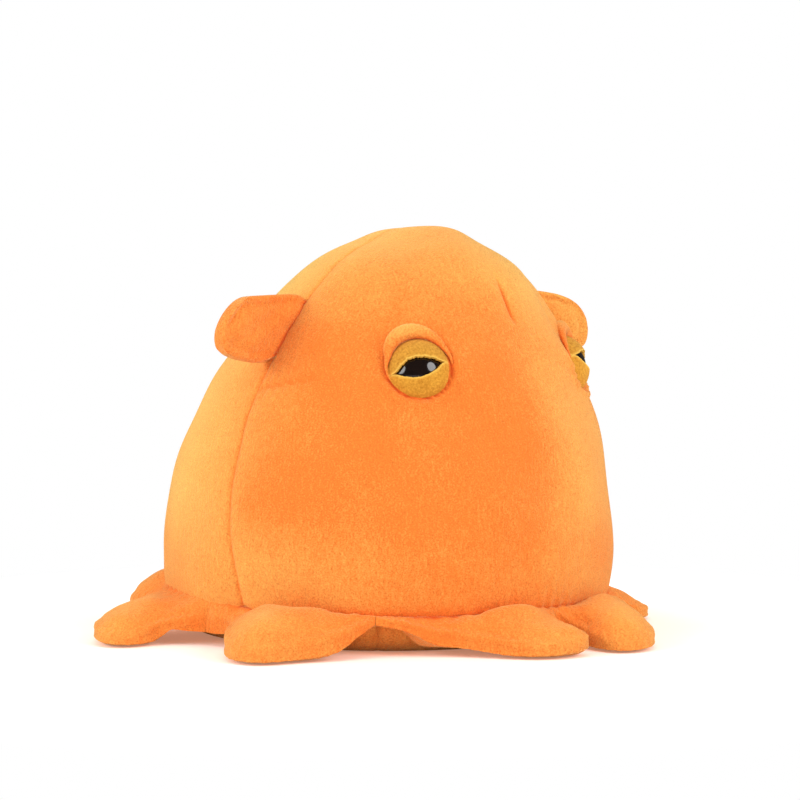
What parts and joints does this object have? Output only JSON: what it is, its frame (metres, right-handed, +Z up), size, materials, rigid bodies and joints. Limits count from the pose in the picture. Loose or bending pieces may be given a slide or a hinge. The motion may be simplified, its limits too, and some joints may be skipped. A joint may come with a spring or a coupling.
{
  "type": "plush octopus",
  "caption": "Plush flapjack octopus with a domed stuffed body, lidded eyes, side fins and short webbed arms that fold at their seams; it sits on a flat base.",
  "frame": {"origin": "centre of the flat of the base, on the surface that the octopus sits on", "axes": "+Z up; -Y forwards, the way that the face looks; +X to the octopus's own left"},
  "size_m": [0.2549, 0.253, 0.1765],
  "materials": {
    "face_plush": "short-pile polyester velboa, deep orange",
    "back_plush": "short-pile polyester velboa, its nap lying the lighter way",
    "underside_plush": "short-pile polyester velboa",
    "limb_plush": "short-pile polyester velboa",
    "lid_cloth": "mustard yellow smooth felt-like cloth",
    "eye_gloss": "polished black moulded plastic",
    "washer_plastic": "natural white moulded plastic",
    "fibre": "white polyester fibre fill"
  },
  "bodies": {
    "body": {"face_panel": "face_plush", "back_panel_left": "back_plush", "back_panel_right": "back_plush", "base_panel": "underside_plush", "body_filling": "fibre", "eye_left": "eye_gloss", "eye_right": "eye_gloss", "eye_washer_left": "washer_plastic", "eye_washer_right": "washer_plastic", "upper_lid_left": "lid_cloth", "upper_lid_right": "lid_cloth", "lower_lid_left": "lid_cloth", "lower_lid_right": "lid_cloth", "brow_left": "limb_plush", "brow_right": "limb_plush", "web_front": "limb_plush", "web_left_1": "limb_plush", "web_left_2": "limb_plush", "web_left_3": "limb_plush", "web_right_1": "limb_plush", "web_right_2": "limb_plush", "web_right_3": "limb_plush", "web_back": "limb_plush"},
    "fin_left": {"fin_left": "limb_plush"},
    "fin_right": {"fin_right": "limb_plush"},
    "arm_left_1": {"arm_left_1": "limb_plush"},
    "arm_left_2": {"arm_left_2": "limb_plush"},
    "arm_left_3": {"arm_left_3": "limb_plush"},
    "arm_left_4": {"arm_left_4": "limb_plush"},
    "arm_right_1": {"arm_right_1": "limb_plush"},
    "arm_right_2": {"arm_right_2": "limb_plush"},
    "arm_right_3": {"arm_right_3": "limb_plush"},
    "arm_right_4": {"arm_right_4": "limb_plush"}
  },
  "joints": [
    {"name": "fin_left_flap", "type": "hinge", "parent": "body", "child": "fin_left", "pos_m": [0.06724, -0.012, 0.13841], "axis": [0.6184, 0, -0.7859], "range_deg": [-35, 35], "stiffness_Nm_per_rad": 0.01},
    {"name": "fin_right_flap", "type": "hinge", "parent": "body", "child": "fin_right", "pos_m": [-0.071, -0.012, 0.13332], "axis": [0.5823, 0, 0.813], "range_deg": [-35, 35], "stiffness_Nm_per_rad": 0.01},
    {"name": "arm_left_1_fold", "type": "hinge", "parent": "body", "child": "arm_left_1", "pos_m": [0.03716, -0.08971, 0.015], "axis": [-0.9239, -0.3827, 0], "range_deg": [-10, 45], "stiffness_Nm_per_rad": 0.02},
    {"name": "arm_left_2_fold", "type": "hinge", "parent": "body", "child": "arm_left_2", "pos_m": [0.08971, -0.03716, 0.015], "axis": [-0.3827, -0.9239, 0], "range_deg": [-10, 45], "stiffness_Nm_per_rad": 0.02},
    {"name": "arm_left_3_fold", "type": "hinge", "parent": "body", "child": "arm_left_3", "pos_m": [0.08971, 0.03716, 0.015], "axis": [0.3827, -0.9239, 0], "range_deg": [-10, 45], "stiffness_Nm_per_rad": 0.02},
    {"name": "arm_left_4_fold", "type": "hinge", "parent": "body", "child": "arm_left_4", "pos_m": [0.03716, 0.08971, 0.015], "axis": [0.9239, -0.3827, 0], "range_deg": [-10, 45], "stiffness_Nm_per_rad": 0.02},
    {"name": "arm_right_1_fold", "type": "hinge", "parent": "body", "child": "arm_right_1", "pos_m": [-0.03716, -0.08971, 0.015], "axis": [-0.9239, 0.3827, 0], "range_deg": [-10, 45], "stiffness_Nm_per_rad": 0.02},
    {"name": "arm_right_2_fold", "type": "hinge", "parent": "body", "child": "arm_right_2", "pos_m": [-0.08971, -0.03716, 0.015], "axis": [-0.3827, 0.9239, 0], "range_deg": [-10, 45], "stiffness_Nm_per_rad": 0.02},
    {"name": "arm_right_3_fold", "type": "hinge", "parent": "body", "child": "arm_right_3", "pos_m": [-0.08971, 0.03716, 0.015], "axis": [0.3827, 0.9239, 0], "range_deg": [-10, 45], "stiffness_Nm_per_rad": 0.02},
    {"name": "arm_right_4_fold", "type": "hinge", "parent": "body", "child": "arm_right_4", "pos_m": [-0.03716, 0.08971, 0.015], "axis": [0.9239, 0.3827, 0], "range_deg": [-10, 45], "stiffness_Nm_per_rad": 0.02}
  ]
}
